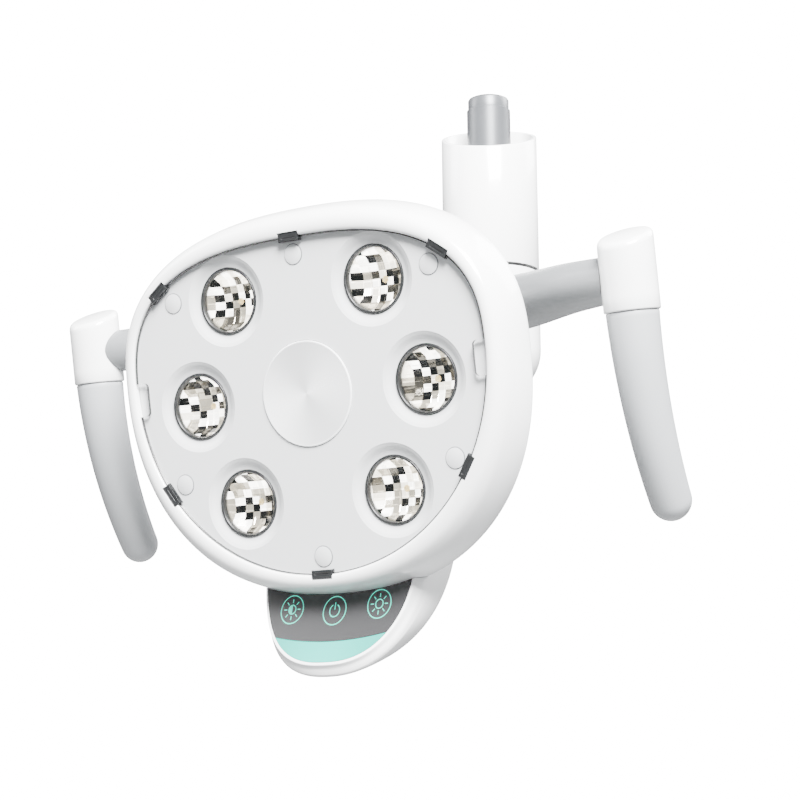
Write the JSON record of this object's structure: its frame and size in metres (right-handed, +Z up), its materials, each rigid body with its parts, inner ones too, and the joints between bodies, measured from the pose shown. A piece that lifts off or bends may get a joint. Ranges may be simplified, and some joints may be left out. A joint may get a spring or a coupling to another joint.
{
  "type": "dental operating light",
  "caption": "Oval multi-lens dental operating light on a swivel, roll and tilt mount, with two pull-off bar grips and a touch control pod under the head.",
  "frame": {"origin": "centre of the mounting stud's top end, on the swivel axis", "axes": "+Z up along the swivel axis, -Y is the side the lamp faces, +X to the right seen from behind the lamp's face, which is the right of the picture of its front"},
  "size_m": [0.412, 0.2754, 0.402],
  "materials": {
    "white_shell": "gloss",
    "white_casting": "gloss",
    "bar_cover": "satin",
    "stud_metal": "satin",
    "bronze": "satin",
    "steel": "satin",
    "black_ring": "matte",
    "dark_clip": "matte",
    "clear_cover": "polished",
    "grey_panel": "satin",
    "pearl_disc": "gloss",
    "reflector": "polished",
    "circuit_board": "matte",
    "grey_glass": "gloss",
    "light_guide": "satin",
    "grip_silicone": "satin"
  },
  "bodies": {
    "column": {"mounting_stud": "stud_metal", "column_sleeve": "white_shell", "sleeve_floor_plate": "white_shell", "bearing_housing": "stud_metal", "swivel_bush": "bronze", "swivel_seal": "black_ring"},
    "elbow": {"elbow_casting": "white_casting", "swivel_shaft": "steel", "swivel_nut": "steel", "roll_bush": "bronze", "roll_seal": "black_ring"},
    "yoke": {"tilt_yoke": "white_casting", "roll_shaft": "steel", "roll_nut": "steel"},
    "head": {"tilt_bracket": "white_casting", "tilt_pin": "steel", "tilt_washer_right": "bronze", "tilt_washer_left": "bronze", "front_bezel": "white_shell", "rear_shell": "white_shell", "shell_screw_1": "steel", "shell_screw_2": "steel", "shell_screw_3": "steel", "shell_screw_4": "steel", "clear_cover": "clear_cover", "cover_clip_1": "dark_clip", "cover_clip_2": "dark_clip", "cover_clip_3": "dark_clip", "cover_clip_4": "dark_clip", "cover_clip_5": "dark_clip", "cover_clip_6": "dark_clip", "lens_panel": "grey_panel", "centre_disc": "pearl_disc", "lamp_trim_ring_1": "black_ring", "lamp_trim_ring_2": "black_ring", "lamp_trim_ring_3": "black_ring", "lamp_trim_ring_4": "black_ring", "lamp_trim_ring_5": "black_ring", "lamp_trim_ring_6": "black_ring", "lamp_reflector_1": "reflector", "lamp_reflector_2": "reflector", "lamp_reflector_3": "reflector", "lamp_reflector_4": "reflector", "lamp_reflector_5": "reflector", "lamp_reflector_6": "reflector", "led_ring_board": "circuit_board", "heat_sink": "stud_metal", "driver_board": "circuit_board", "handle_bar_right": "bar_cover", "handle_bar_left": "bar_cover", "handle_cap_right": "white_shell", "handle_cap_left": "white_shell", "grip_spigot_right": "steel", "grip_spigot_left": "steel", "touch_glass": "grey_glass", "light_strip": "light_guide", "pod_housing": "white_shell", "touch_board": "circuit_board"},
    "grip_right": {"grip_right": "grip_silicone"},
    "grip_left": {"grip_left": "grip_silicone"}
  },
  "joints": [
    {"name": "swivel", "type": "hinge", "parent": "column", "child": "elbow", "pos_m": [0, 0, -0.177], "axis": [0, 0, 1], "range_deg": [-160, 160]},
    {"name": "roll", "type": "hinge", "parent": "elbow", "child": "yoke", "pos_m": [0, -0.062, -0.177], "axis": [0, 1, 0], "range_deg": [-45, 45]},
    {"name": "tilt", "type": "hinge", "parent": "yoke", "child": "head", "pos_m": [0, -0.114, -0.177], "axis": [1, 0, 0], "range_deg": [-50, 70]},
    {"name": "grip_right_pull", "type": "slide", "parent": "head", "child": "grip_right", "axis": [0, 0.1754, -0.9845], "range_m": [0, 0.04]},
    {"name": "grip_left_pull", "type": "slide", "parent": "head", "child": "grip_left", "axis": [0, 0.1754, -0.9845], "range_m": [0, 0.04]}
  ]
}
